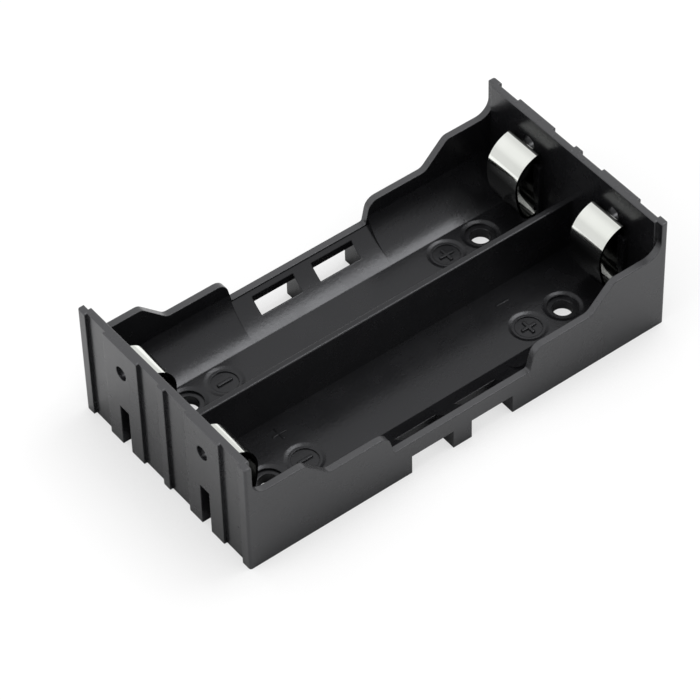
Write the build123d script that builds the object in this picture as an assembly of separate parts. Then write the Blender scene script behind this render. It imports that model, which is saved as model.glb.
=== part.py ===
from build123d import *
from math import cos, radians
import os

os.makedirs("parts", exist_ok=True)

# Two-bay holder for cylindrical cells. The origin is the middle of the base,
# X runs along the cells, Y across the two bays and Z up. Sizes in millimetres.

# Moulded housing
LENGTH = 77.0
WIDTH = 40.0
HEIGHT = 21.0
FLOOR = 2.2
SIDE_WALL = 1.15
END_WALL = 1.15
PARTITION = 1.15
PARTITION_TOP = 11.5

# Raised pads and ribs on the outer face of both end walls
PAD_RAISE = 0.5
PAD_WIDTH = 8.2
CENTRE_RIB = 1.5
CORNER_RIB = 1.8

# Stepped top edge of the long walls, from the middle towards each end
LOW_TOP = 6.5
MID_TOP = 10.6
HIGH_TOP = 14.8
LOW_HALF = 12.6
DROP_RUN = 0.9
MID_RUN = 10.6
SLOPE_RUN = 4.3
CORNER_POST = 1.15
FOOT_CURVE = 0.4
DROP_CURVE = 2.0
SLOPE_CURVE = 1.6
POST_CURVE = 2.6

# Cradle that rises from the flat strip of the floor to each long wall,
# and the flatter recess in it beside the low part of the wall
FLAT_HALF = 3.37
CRADLE_CURVE = 9.75
CRADLE_TOP = 7.95
RECESS_HALF = 13.0
RECESS_CURVE = 13.8
RECESS_LIP = 0.25

# Windows through the recess and the foot of the long walls
WINDOW_FROM_MIDDLE = 1.7
WINDOW_LENGTH = 7.65
WINDOW_HEIGHT = 3.5
WINDOW_RISE = 0.9
WINDOW_WIDTH = 2.37
WINDOW_MARGIN = 0.55

# Screw holes and sunken polarity discs in the floor of each bay
SCREW_FROM_MIDDLE = 27.5
SCREW_HOLE = 3.2
SCREW_SEAT = 4.8
SCREW_SEAT_DEPTH = 0.45
DISC_FROM_MIDDLE = 20.9
DISC = 4.2
DISC_DEPTH = 0.3
DISH = 6.2
DISH_DEPTH = 0.13
DISH_RUN = 0.55

# Round hole and bottom slot in the middle of each end-wall pad
END_HOLE = 2.4
END_HOLE_HEIGHT = 15.8
END_SLOT = 2.2
END_SLOT_TOP = 8.2

# Leaf contact, folded from one strip: foot on the wall, heel, shin, bow and tip
SHEET = 0.4
LEAF_WIDTH = 6.8
FOOT_WIDTH = 5.3
FOOT_TOP = 14.4
SHIN_CURVE = 15.0
SHIN_ANGLE = 25.0
BOW_REACH = 5.4
BOW_HEIGHT = 11.5
BOW_CURVE = 5.0
BOW_ANGLE = 79.0
TIP_CURVE = 0.8
TIP_ANGLE = 95.0
SHOULDER_CLEARANCE = 0.2

# Guide ribs that hold the foot of each contact against the end wall
GUIDE_CLEARANCE = 0.1
GUIDE_RIB = 0.9
GUIDE_REACH = 1.0
GUIDE_TOP = 13.6
LIP_OVERLAP = 0.3
LIP_CLEARANCE = 0.05
LIP_LENGTH = 6.6

# Edge rounding of the moulding
TOP_ROUND = 0.2
CORNER_ROUND = 0.4

inner_half_length = LENGTH / 2 - PAD_RAISE - END_WALL
inner_half_width = WIDTH / 2 - SIDE_WALL
bay_width = inner_half_width - PARTITION / 2
bay_middle = inner_half_width - bay_width / 2
bays = GridLocations(0, 2 * bay_middle, 1, 2)


def four_places(from_middle):
    """One place near each end of each bay."""
    return GridLocations(2 * from_middle, 2 * bay_middle, 2, 2)


def wall_top_section():
    """Everything above the stepped top edge of a long wall."""
    post = LENGTH / 2 - CORNER_POST
    above = HEIGHT + TOP_ROUND
    mid_start = LOW_HALF + DROP_RUN
    slope_start = mid_start + MID_RUN
    with BuildSketch(Plane.XZ) as section:
        with BuildLine():
            FilletPolyline(
                (0, LOW_TOP),
                (LOW_HALF, LOW_TOP),
                (mid_start, MID_TOP),
                (slope_start, MID_TOP),
                (slope_start + SLOPE_RUN, HIGH_TOP),
                (post, HIGH_TOP),
                (post, above),
                radius=(FOOT_CURVE, DROP_CURVE, SLOPE_CURVE, SLOPE_CURVE, POST_CURVE),
            )
            Polyline((post, above), (0, above), (0, LOW_TOP))
        make_face()
        mirror(about=Plane.YZ)
    return section.sketch


def bay_section(cradle_top, cradle_curve):
    """Room of both bays: straight at the partition, an arc up to the long wall."""
    with BuildSketch(Plane.YZ) as section:
        with BuildLine():
            cradle = RadiusArc(
                (bay_middle + FLAT_HALF, FLOOR),
                (inner_half_width, cradle_top),
                -cradle_curve,
            )
            Polyline(
                cradle @ 1,
                (inner_half_width, HEIGHT),
                (PARTITION / 2, HEIGHT),
                (PARTITION / 2, FLOOR),
                cradle @ 0,
            )
        make_face()
        mirror(about=Plane.YZ)
    return section.sketch


def window_section():
    """Section of the windows, which are open at the base and have a sloping ceiling."""
    slot_end = inner_half_width - WINDOW_MARGIN
    slot_start = slot_end - WINDOW_WIDTH
    with BuildSketch(Plane.YZ.offset(WINDOW_FROM_MIDDLE)) as section:
        with BuildLine():
            Polyline(
                (WIDTH / 2, 0),
                (WIDTH / 2, WINDOW_HEIGHT),
                (slot_end, WINDOW_HEIGHT + WINDOW_RISE),
                (slot_end, LOW_TOP),
                (slot_start, LOW_TOP),
                (slot_start, 0),
                close=True,
            )
        make_face()
        mirror(about=Plane.YZ)
    return section.sketch


def sunken_section(width, depth):
    """Half section of a sunken round floor and the shallow dish round it."""
    with BuildSketch(Plane.XZ) as section:
        with BuildLine():
            Polyline(
                (0, FLOOR - depth),
                (width / 2, FLOOR - depth),
                (width / 2, FLOOR - DISH_DEPTH),
                (DISH / 2 - DISH_RUN, FLOOR - DISH_DEPTH),
                (DISH / 2, FLOOR),
                (DISH / 2, FLOOR + DISH_DEPTH),
                (0, FLOOR + DISH_DEPTH),
                close=True,
            )
        make_face()
    return section.sketch


def make_housing():
    with BuildPart() as housing:
        # Outer form with the pads and ribs of the end walls
        with BuildSketch():
            Rectangle(LENGTH - 2 * PAD_RAISE, WIDTH)
            with bays:
                Rectangle(LENGTH, PAD_WIDTH)
            Rectangle(LENGTH, CENTRE_RIB)
            with GridLocations(0, WIDTH - CORNER_RIB, 1, 2):
                Rectangle(LENGTH, CORNER_RIB)
        extrude(amount=HEIGHT)
        fillet(housing.edges().filter_by(Axis.Z).group_by(SortBy.DISTANCE)[-1], CORNER_ROUND)

        # Bays with their cradles and recesses, and the room above the partition
        extrude(bay_section(CRADLE_TOP, CRADLE_CURVE), inner_half_length, both=True, mode=Mode.SUBTRACT)
        recess = bay_section(LOW_TOP - RECESS_LIP, RECESS_CURVE)
        extrude(recess, RECESS_HALF, both=True, mode=Mode.SUBTRACT)
        with BuildSketch(Plane.XY.offset(PARTITION_TOP)):
            Rectangle(2 * inner_half_length, 2 * inner_half_width)
        extrude(amount=HEIGHT, mode=Mode.SUBTRACT)

        # Guide ribs of the contacts, with lips over the edges of the foot
        guide = FOOT_WIDTH + 2 * GUIDE_CLEARANCE
        lip = GUIDE_CLEARANCE + LIP_OVERLAP
        lip_reach = GUIDE_REACH - SHEET - LIP_CLEARANCE
        with BuildSketch(Plane.XY.offset(GUIDE_TOP)):
            with four_places(inner_half_length - GUIDE_REACH / 2):
                with GridLocations(0, guide + GUIDE_RIB, 1, 2):
                    Rectangle(GUIDE_REACH, GUIDE_RIB)
        extrude(amount=FLOOR - GUIDE_TOP)
        with BuildSketch(Plane.XY.offset(GUIDE_TOP)):
            with four_places(inner_half_length - GUIDE_REACH + lip_reach / 2):
                with GridLocations(0, guide - lip, 1, 2):
                    Rectangle(lip_reach, lip)
        extrude(amount=-LIP_LENGTH)

        # Stepped top edges
        cut = extrude(wall_top_section(), SIDE_WALL, mode=Mode.PRIVATE)
        for offset in (WIDTH / 2, SIDE_WALL - WIDTH / 2):
            add(Pos(Y=offset) * cut, mode=Mode.SUBTRACT)

        # Windows
        cut = extrude(window_section(), WINDOW_LENGTH, mode=Mode.PRIVATE)
        add(cut, mode=Mode.SUBTRACT)
        mirror(cut, about=Plane.YZ, mode=Mode.SUBTRACT)

        # Screw holes with their sunken seats, and the polarity discs
        with BuildSketch():
            with four_places(SCREW_FROM_MIDDLE):
                Circle(SCREW_HOLE / 2)
        extrude(amount=FLOOR, mode=Mode.SUBTRACT)
        seat = revolve(sunken_section(SCREW_SEAT, SCREW_SEAT_DEPTH), Axis.Z, mode=Mode.PRIVATE)
        disc = revolve(sunken_section(DISC, DISC_DEPTH), Axis.Z, mode=Mode.PRIVATE)
        for sunken, from_middle in ((seat, SCREW_FROM_MIDDLE), (disc, DISC_FROM_MIDDLE)):
            for place in four_places(from_middle):
                add(place * sunken, mode=Mode.SUBTRACT)

        # Round hole and bottom slot in the middle of each pad
        with BuildSketch(Plane.YZ.offset(inner_half_length), mode=Mode.PRIVATE) as openings:
            with GridLocations(2 * bay_middle, 0, 2, 1):
                with Locations((0, END_HOLE_HEIGHT)):
                    Circle(END_HOLE / 2)
                Rectangle(END_SLOT, END_SLOT_TOP, align=(Align.CENTER, Align.MIN))
        cut = extrude(openings.sketch, END_WALL + PAD_RAISE, mode=Mode.PRIVATE)
        add(cut, mode=Mode.SUBTRACT)
        mirror(cut, about=Plane.YZ, mode=Mode.SUBTRACT)

        # Rounded top edges of the end walls and the partition
        fillet(housing.edges().group_by(Axis.Z)[-1], TOP_ROUND)
        along = housing.edges().filter_by(Axis.X)
        fillet(along.filter_by_position(Axis.Z, PARTITION_TOP, PARTITION_TOP), TOP_ROUND)
    return housing.part


def make_contact():
    """A contact on the wall plane X = 0, bowing towards +X."""
    apex = (BOW_REACH, BOW_HEIGHT)
    with BuildPart() as contact:
        with BuildSketch(Plane.XZ):
            with BuildLine():
                bow = JernArc(apex, (0, 1), BOW_CURVE, BOW_ANGLE)
                JernArc(bow @ 1, bow % 1, TIP_CURVE, TIP_ANGLE)
                shin = JernArc(apex, (0, -1), SHIN_CURVE, -SHIN_ANGLE)
                heel_curve = (shin @ 1).X / (1 + cos(radians(SHIN_ANGLE)))
                heel = JernArc(shin @ 1, shin % 1, heel_curve, SHIN_ANGLE - 180)
                Line(heel @ 1, (0, FOOT_TOP))
                offset(amount=SHEET, side=Side.RIGHT, closed=True)
            make_face()
        extrude(amount=LEAF_WIDTH / 2, both=True)

        # The strip is narrower where it passes between the guide ribs
        shoulder = (LEAF_WIDTH - FOOT_WIDTH) / 2
        with BuildSketch():
            with GridLocations(0, FOOT_WIDTH + shoulder, 1, 2):
                Rectangle(2 * (GUIDE_REACH + SHOULDER_CLEARANCE), shoulder)
        extrude(amount=FOOT_TOP, mode=Mode.SUBTRACT)
    return contact.part


housing = make_housing()
contact = make_contact()
left_end = Pos(X=-inner_half_length)
right_end = Pos(X=inner_half_length) * Rot(Z=180)
parts = {
    "housing": housing,
    "contact_front_left": Pos(Y=-bay_middle) * left_end * contact,
    "contact_back_left": Pos(Y=bay_middle) * left_end * contact,
    "contact_front_right": Pos(Y=-bay_middle) * right_end * contact,
    "contact_back_right": Pos(Y=bay_middle) * right_end * contact,
}
for name, shape in parts.items():
    shape.label = name
    export_step(shape, f"parts/{name}.step")
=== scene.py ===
import math

import bmesh
import bpy
from mathutils import Matrix, Vector


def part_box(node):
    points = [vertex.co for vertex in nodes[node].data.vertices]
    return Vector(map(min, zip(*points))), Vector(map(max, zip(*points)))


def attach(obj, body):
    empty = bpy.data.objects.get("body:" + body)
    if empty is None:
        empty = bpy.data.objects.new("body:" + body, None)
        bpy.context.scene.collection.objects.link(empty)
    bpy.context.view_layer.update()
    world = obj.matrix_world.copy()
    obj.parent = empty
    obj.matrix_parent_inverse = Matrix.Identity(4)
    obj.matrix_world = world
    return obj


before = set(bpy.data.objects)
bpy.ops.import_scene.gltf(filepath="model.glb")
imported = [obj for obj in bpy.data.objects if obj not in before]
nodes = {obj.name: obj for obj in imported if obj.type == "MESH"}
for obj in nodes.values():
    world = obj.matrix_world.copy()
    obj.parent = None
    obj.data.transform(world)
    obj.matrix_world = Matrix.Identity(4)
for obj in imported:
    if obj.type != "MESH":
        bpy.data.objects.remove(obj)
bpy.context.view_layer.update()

scene = bpy.context.scene
MM = 0.001
WHITE = (1.0, 1.0, 1.0, 1.0)

CONTACTS = (
    "contact_back_left",
    "contact_back_right",
    "contact_front_left",
    "contact_front_right",
)


# Camera
TARGET = Vector((0.0, 0.0, 10.0)) * MM
AZIMUTH = math.radians(-37.143)
ELEVATION = math.radians(46.417)
ROLL = math.radians(-1.302)
DISTANCE = 556.99 * MM
SENSOR = 36.0
FOCAL_PX = 3809.05
FRAME_PX = 700.0
SHIFT_PX = (26.742, -32.866)
NEAREST = 0.01
FARTHEST = 10.0


def make_camera():
    data = bpy.data.cameras.new("camera")
    camera = bpy.data.objects.new("camera", data)
    scene.collection.objects.link(camera)
    scene.camera = camera
    back = Vector((
        math.sin(AZIMUTH) * math.cos(ELEVATION),
        -math.cos(AZIMUTH) * math.cos(ELEVATION),
        math.sin(ELEVATION),
    ))
    turn = (-back).to_track_quat("-Z", "Y").to_matrix() @ Matrix.Rotation(ROLL, 3, "Z")
    camera.matrix_world = Matrix.Translation(TARGET + back * DISTANCE) @ turn.to_4x4()
    data.sensor_width = SENSOR
    data.lens = FOCAL_PX / FRAME_PX * SENSOR
    data.shift_x = -SHIFT_PX[0] / FRAME_PX
    data.shift_y = SHIFT_PX[1] / FRAME_PX
    data.clip_start = NEAREST
    data.clip_end = FARTHEST


# Nodes: the sockets of a blend are its first value, its second value and its result
MIX_SOCKETS = {"VECTOR": (4, 5, 1), "RGBA": (6, 7, 2)}
NUMBER = "NodeSocketFloat"
COLOR = "NodeSocketColor"


def new_material(name):
    material = bpy.data.materials.new(name)
    material.use_nodes = True
    tree = material.node_tree
    return material, tree, tree.nodes["Principled BSDF"]


def feed(tree, socket, value):
    """An input takes a link from an output, or a plain value."""
    if isinstance(value, bpy.types.NodeSocket):
        tree.links.new(value, socket)
    else:
        socket.default_value = value


def add_node(tree, kind, **settings):
    """A new node; each setting is one of its own, or else the input of that name."""
    node = tree.nodes.new(kind)
    for key, value in settings.items():
        if hasattr(node, key):
            setattr(node, key, value)
        else:
            feed(tree, node.inputs[key], value)
    return node


def add_maths(tree, operation, *values):
    node = add_node(tree, "ShaderNodeMath", operation=operation)
    for socket, value in zip(node.inputs, values):
        feed(tree, socket, value)
    return node.outputs[0]


def add_mix(tree, kind, share, first, second, **settings):
    """A blend of two colours or of two directions."""
    node = add_node(tree, "ShaderNodeMix", data_type=kind, **settings)
    first_socket, second_socket, result = MIX_SOCKETS[kind]
    feed(tree, node.inputs[0], share)
    feed(tree, node.inputs[first_socket], first)
    feed(tree, node.inputs[second_socket], second)
    return node.outputs[result]


def add_range(tree, source, start, end, low=0.0, high=1.0):
    """Values from start to end, drawn out from low to high and held there beyond."""
    limits = {"From Min": start, "From Max": end, "To Min": low, "To Max": high}
    return add_node(tree, "ShaderNodeMapRange", Value=source, **limits).outputs["Result"]


def add_noise(tree, place, scale, detail):
    noise = add_node(tree, "ShaderNodeTexNoise", Vector=place, Scale=scale, Detail=detail)
    return noise.outputs["Fac"]


def add_openness(tree, reach, samples, **settings):
    """1 where nothing is near the face, 0 deep in a hollow."""
    node = add_node(tree, "ShaderNodeAmbientOcclusion", Distance=reach, samples=samples, **settings)
    return node.outputs["AO"]


def new_group(name, inputs, outputs):
    """A node group, what it is given and what it gives."""
    group = bpy.data.node_groups.new(name, "ShaderNodeTree")
    for side, sockets in (("INPUT", inputs), ("OUTPUT", outputs)):
        for label, kind in sockets.items():
            group.interface.new_socket(name=label, in_out=side, socket_type=kind)
    given = group.nodes.new("NodeGroupInput").outputs
    result = group.nodes.new("NodeGroupOutput").inputs
    return group, given, result


def make_uneven_finish():
    """Clouds of tone and gloss that stay where they are on the object."""
    inputs = {
        "Scale": NUMBER,
        "Detail": NUMBER,
        "Dark": COLOR,
        "Light": COLOR,
        "Smoothest": NUMBER,
        "Roughest": NUMBER,
    }
    outputs = {"Color": COLOR, "Roughness": NUMBER}
    group, given, result = new_group("uneven_finish", inputs, outputs)
    place = add_node(group, "ShaderNodeTexCoord").outputs["Object"]
    clouds = add_noise(group, place, given["Scale"], given["Detail"])
    color = add_mix(group, "RGBA", clouds, given["Dark"], given["Light"])
    roughness = add_range(group, clouds, 0.0, 1.0, given["Smoothest"], given["Roughest"])
    feed(group, result["Color"], color)
    feed(group, result["Roughness"], roughness)
    return group


def make_upward_share():
    """A mask that grows from Low to 1 as faces turn from upright to level."""
    inputs = {"Start": NUMBER, "End": NUMBER, "Low": NUMBER}
    group, given, result = new_group("upward_share", inputs, {"Mask": NUMBER})
    normal = add_node(group, "ShaderNodeNewGeometry").outputs["Normal"]
    height = add_node(group, "ShaderNodeSeparateXYZ", Vector=normal).outputs["Z"]
    mask = add_range(group, height, given["Start"], given["End"], given["Low"])
    feed(group, result["Mask"], mask)
    return group


uneven_finish = make_uneven_finish()
upward_share = make_upward_share()


# Black moulded plastic
PLASTIC_IOR = 1.52
PLASTIC_SHINE = (0.95, 0.96, 1.0, 1.0)
PLASTIC_FINISH = {
    "Scale": 220.0,
    "Detail": 4.0,
    "Dark": (0.004, 0.004, 0.0045, 1.0),
    "Light": (0.008, 0.008, 0.009, 1.0),
    "Smoothest": 0.19,
    "Roughest": 0.34,
}
GRAIN_SCALE = 1800.0
GRAIN_DETAIL = 3.0
GRAIN_STRENGTH = 0.8
GRAIN_DEPTH = 0.02 * MM
EDGE_ROUND = 0.25 * MM
EDGE_SAMPLES = 4
CORNER_SEARCH = 0.5 * MM
CORNER_SAMPLES = 6
CORNER_OPENNESS = (0.95, 1.0)
# Painted highlight: the tops of the outer walls take this lighter colour where they would catch the
# light
PAINTED_RIM_HIGHLIGHT = (0.05, 0.05, 0.052, 1.0)
PAINTED_RIM_SLOPES = {"Start": 0.05, "End": 0.3, "Low": 0.0}
SIDE_RIM_FROM = 18.9 * MM
END_RIM_HEIGHT = 20.5 * MM


def round_edges(tree):
    """Normals rounded over outer edges; inner corners stay sharp."""
    rounded = add_node(tree, "ShaderNodeBevel", samples=EDGE_SAMPLES, Radius=EDGE_ROUND)
    plain = add_node(tree, "ShaderNodeNewGeometry")
    openness = add_openness(tree, CORNER_SEARCH, CORNER_SAMPLES, only_local=True)
    outer = add_range(tree, openness, *CORNER_OPENNESS)
    return add_mix(tree, "VECTOR", outer, plain.outputs["Normal"], rounded.outputs["Normal"])


def painted_rim_highlight_mask(tree, place):
    """1 on the tops of the outer walls, which take a painted highlight, 0 elsewhere."""
    axes = add_node(tree, "ShaderNodeSeparateXYZ", Vector=place)
    outward = add_maths(tree, "ABSOLUTE", axes.outputs["Y"])
    on_side = add_maths(tree, "GREATER_THAN", outward, SIDE_RIM_FROM)
    on_end = add_maths(tree, "GREATER_THAN", axes.outputs["Z"], END_RIM_HEIGHT)
    on_wall = add_maths(tree, "MAXIMUM", on_side, on_end)
    on_top = add_node(tree, "ShaderNodeGroup", node_tree=upward_share, **PAINTED_RIM_SLOPES)
    return add_maths(tree, "MULTIPLY", on_wall, on_top.outputs["Mask"])


def make_plastic():
    material, tree, shader = new_material("black_plastic")
    place = add_node(tree, "ShaderNodeTexCoord").outputs["Object"]
    finish = add_node(tree, "ShaderNodeGroup", node_tree=uneven_finish, **PLASTIC_FINISH)
    # A painted highlight lightens the colour on the tops of the outer walls
    color = add_mix(tree, "RGBA", painted_rim_highlight_mask(tree, place), finish.outputs["Color"], PAINTED_RIM_HIGHLIGHT)
    grain = add_noise(tree, place, GRAIN_SCALE, GRAIN_DETAIL)
    bump = add_node(
        tree, "ShaderNodeBump",
        Strength=GRAIN_STRENGTH, Distance=GRAIN_DEPTH, Height=grain, Normal=round_edges(tree),
    )
    feed(tree, shader.inputs["IOR"], PLASTIC_IOR)
    feed(tree, shader.inputs["Specular Tint"], PLASTIC_SHINE)
    feed(tree, shader.inputs["Base Color"], color)
    feed(tree, shader.inputs["Roughness"], finish.outputs["Roughness"])
    feed(tree, shader.inputs["Normal"], bump.outputs["Normal"])
    return material


# Nickel plate on the contacts, with painted shade in the hollows of the bows and under them
NICKEL_FINISH = {
    "Scale": 160.0,
    "Detail": 2.0,
    "Dark": (0.79, 0.81, 0.76, 1.0),
    "Light": (0.88, 0.89, 0.86, 1.0),
    "Smoothest": 0.08,
    "Roughest": 0.15,
}
BOW_SEARCH = 8.0 * MM
BOW_SAMPLES = 8
BOW_OPENNESS = (0.42, 0.62)
BOW_PAINTED_HOLLOW_SHADE = 0.06
BOW_PAINTED_UNDERSIDE_SLOPES = {"Start": 0.0, "End": 0.35, "Low": 0.2}


def make_nickel():
    material, tree, shader = new_material("plated_steel")
    finish = add_node(tree, "ShaderNodeGroup", node_tree=uneven_finish, **NICKEL_FINISH)
    # Painted shade: the colour is darkened in the hollows of the bows and on faces turned downward
    openness = add_openness(tree, BOW_SEARCH, BOW_SAMPLES)
    painted_hollow_shade = add_range(tree, openness, *BOW_OPENNESS, low=BOW_PAINTED_HOLLOW_SHADE)
    painted_underside_shade = add_node(tree, "ShaderNodeGroup", node_tree=upward_share, **BOW_PAINTED_UNDERSIDE_SLOPES)
    shade = add_maths(tree, "MULTIPLY", painted_hollow_shade, painted_underside_shade.outputs["Mask"])
    color = add_mix(tree, "RGBA", 1.0, finish.outputs["Color"], shade, blend_type="MULTIPLY")
    feed(tree, shader.inputs["Metallic"], 1.0)
    feed(tree, shader.inputs["Base Color"], color)
    feed(tree, shader.inputs["Roughness"], finish.outputs["Roughness"])
    return material


def dress(name, material):
    node = nodes[name]
    node.data.materials.clear()
    node.data.materials.append(material)


plastic = make_plastic()
nickel = make_nickel()
dress("housing", plastic)
for contact in CONTACTS:
    dress(contact, nickel)


# Raised polarity signs: large ones in the sunken discs, small ones in the front bay
SIGN_FROM_MIDDLE = 20.9 * MM
DISC_FLOOR = 1.9 * MM
BAY_FLOOR = 2.2 * MM
SIGN_SINK = 0.02 * MM
LARGE_SIGN = {"length": 2.6 * MM, "width": 0.5 * MM, "rise": 0.25 * MM}
SMALL_SIGN = {"length": 2.4 * MM, "width": 0.36 * MM, "rise": 0.1 * MM}
SMALL_SIGN_FROM_PARTITION = 3.55 * MM


def add_bar(form, place, length, width, rise):
    """A low bar with its foot just below the face that carries it."""
    middle = Vector(place) + Vector((0.0, 0.0, (rise - SIGN_SINK) / 2))
    size = Matrix.Diagonal((length, width, rise + SIGN_SINK, 1.0))
    bmesh.ops.create_cube(form, size=1.0, matrix=Matrix.Translation(middle) @ size)


def add_cross(form, place, length, width, rise):
    """A plus made of one bar and two stubs, so that no faces overlap."""
    add_bar(form, place, length, width, rise)
    stub = (length - width) / 2
    for side in (-1, 1):
        shifted = Vector(place) + Vector((0.0, side * (width + stub) / 2, 0.0))
        add_bar(form, shifted, width, stub, rise)


def finish_piece(name, form, material):
    mesh = bpy.data.meshes.new(name)
    bmesh.ops.recalc_face_normals(form, faces=form.faces)
    form.to_mesh(mesh)
    form.free()
    piece = bpy.data.objects.new(name, mesh)
    scene.collection.objects.link(piece)
    mesh.materials.append(material)
    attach(piece, "root")


def make_signs():
    form = bmesh.new()
    for contact in CONTACTS:
        low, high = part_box(contact)
        bay = (low.y + high.y) / 2
        if high.x < 0:
            add_bar(form, (-SIGN_FROM_MIDDLE, bay, DISC_FLOOR), **LARGE_SIGN)
        else:
            add_cross(form, (SIGN_FROM_MIDDLE, bay, DISC_FLOOR), **LARGE_SIGN)
    add_cross(form, (-SIGN_FROM_MIDDLE, -SMALL_SIGN_FROM_PARTITION, BAY_FLOOR), **SMALL_SIGN)
    add_bar(form, (SIGN_FROM_MIDDLE, -SMALL_SIGN_FROM_PARTITION, BAY_FLOOR), **SMALL_SIGN)
    finish_piece("polarity_signs", form, plastic)


make_signs()


# Floor, white to the camera; close to the object it has real shadow and painted shade in its colour
FLOOR_HALF = 3.0
FLOOR_SEARCH = 15.0 * MM
FLOOR_SAMPLES = 4
FLOOR_OPENNESS = (0.1, 0.8)
FLOOR_PAINTED_SHADE_TONES = (0.05, 0.93)
FLOOR_ROUGHNESS = 0.9
SEEN_GLOW = 0.65


def make_floor():
    mesh = bpy.data.meshes.new("floor")
    form = bmesh.new()
    bmesh.ops.create_grid(form, x_segments=1, y_segments=1, size=FLOOR_HALF)
    form.to_mesh(mesh)
    form.free()
    floor = bpy.data.objects.new("floor", mesh)
    scene.collection.objects.link(floor)
    material, tree, shader = new_material("floor")
    # Painted shade: the floor's colour darkens where the object is near
    openness = add_openness(tree, FLOOR_SEARCH, FLOOR_SAMPLES)
    tone = add_range(tree, openness, *FLOOR_OPENNESS, *FLOOR_PAINTED_SHADE_TONES)
    feed(tree, shader.inputs["Base Color"], tone)
    feed(tree, shader.inputs["Roughness"], FLOOR_ROUGHNESS)
    feed(tree, shader.inputs["Specular IOR Level"], 0.0)
    glow = add_node(tree, "ShaderNodeEmission", Strength=1.0)
    path = add_node(tree, "ShaderNodeLightPath")
    share = add_maths(tree, "MULTIPLY", path.outputs["Is Camera Ray"], SEEN_GLOW)
    mix = add_node(tree, "ShaderNodeMixShader")
    for socket, value in zip(mix.inputs, (share, shader.outputs[0], glow.outputs[0])):
        feed(tree, socket, value)
    feed(tree, tree.nodes["Material Output"].inputs["Surface"], mix.outputs[0])
    mesh.materials.append(material)


# World and lamps
SOFT_LIGHT = 0.82
BRIGHT_LIGHT = 1.0
BRIGHT_DIRECTION = (-0.42, 0.55, 0.72)
BRIGHT_SPREAD = (0.9, 0.99)
LAMPS = {
    "overhead": {"place": (0.42, -0.03, 0.88), "aim": (0.0, 0.0, 0.0), "side": 0.45, "power": 3.2},
    "side": {"place": (-0.55, 0.05, 0.5), "aim": (-0.1, 0.0, 0.0), "side": 0.4, "power": 1.2},
}


def make_world():
    """White to the camera, brightest for reflections from one side, softer as a light."""
    world = bpy.data.worlds.new("world")
    scene.world = world
    world.use_nodes = True
    tree = world.node_tree
    direction = add_node(tree, "ShaderNodeTexCoord").outputs["Generated"]
    nearness = add_node(tree, "ShaderNodeVectorMath", operation="DOT_PRODUCT")
    feed(tree, nearness.inputs[0], direction)
    feed(tree, nearness.inputs[1], BRIGHT_DIRECTION)
    glow = add_range(tree, nearness.outputs["Value"], *BRIGHT_SPREAD, SOFT_LIGHT, BRIGHT_LIGHT)
    path = add_node(tree, "ShaderNodeLightPath")
    reflected = add_maths(tree, "MULTIPLY", path.outputs["Is Glossy Ray"], glow)
    shown = add_maths(tree, "MAXIMUM", path.outputs["Is Camera Ray"], reflected)
    background = tree.nodes["Background"]
    feed(tree, background.inputs["Color"], WHITE)
    feed(tree, background.inputs["Strength"], add_maths(tree, "MAXIMUM", shown, SOFT_LIGHT))


def add_lamp(name, place, aim, side, power):
    data = bpy.data.lights.new(name, "AREA")
    data.shape = "SQUARE"
    data.size = side
    data.energy = power
    lamp = bpy.data.objects.new(name, data)
    scene.collection.objects.link(lamp)
    lamp.location = place
    lamp.rotation_mode = "QUATERNION"
    lamp.rotation_quaternion = (Vector(aim) - Vector(place)).to_track_quat("-Z", "Y")


make_camera()
make_floor()
make_world()
for name, settings in LAMPS.items():
    add_lamp(name, **settings)

scene.view_settings.view_transform = "Standard"
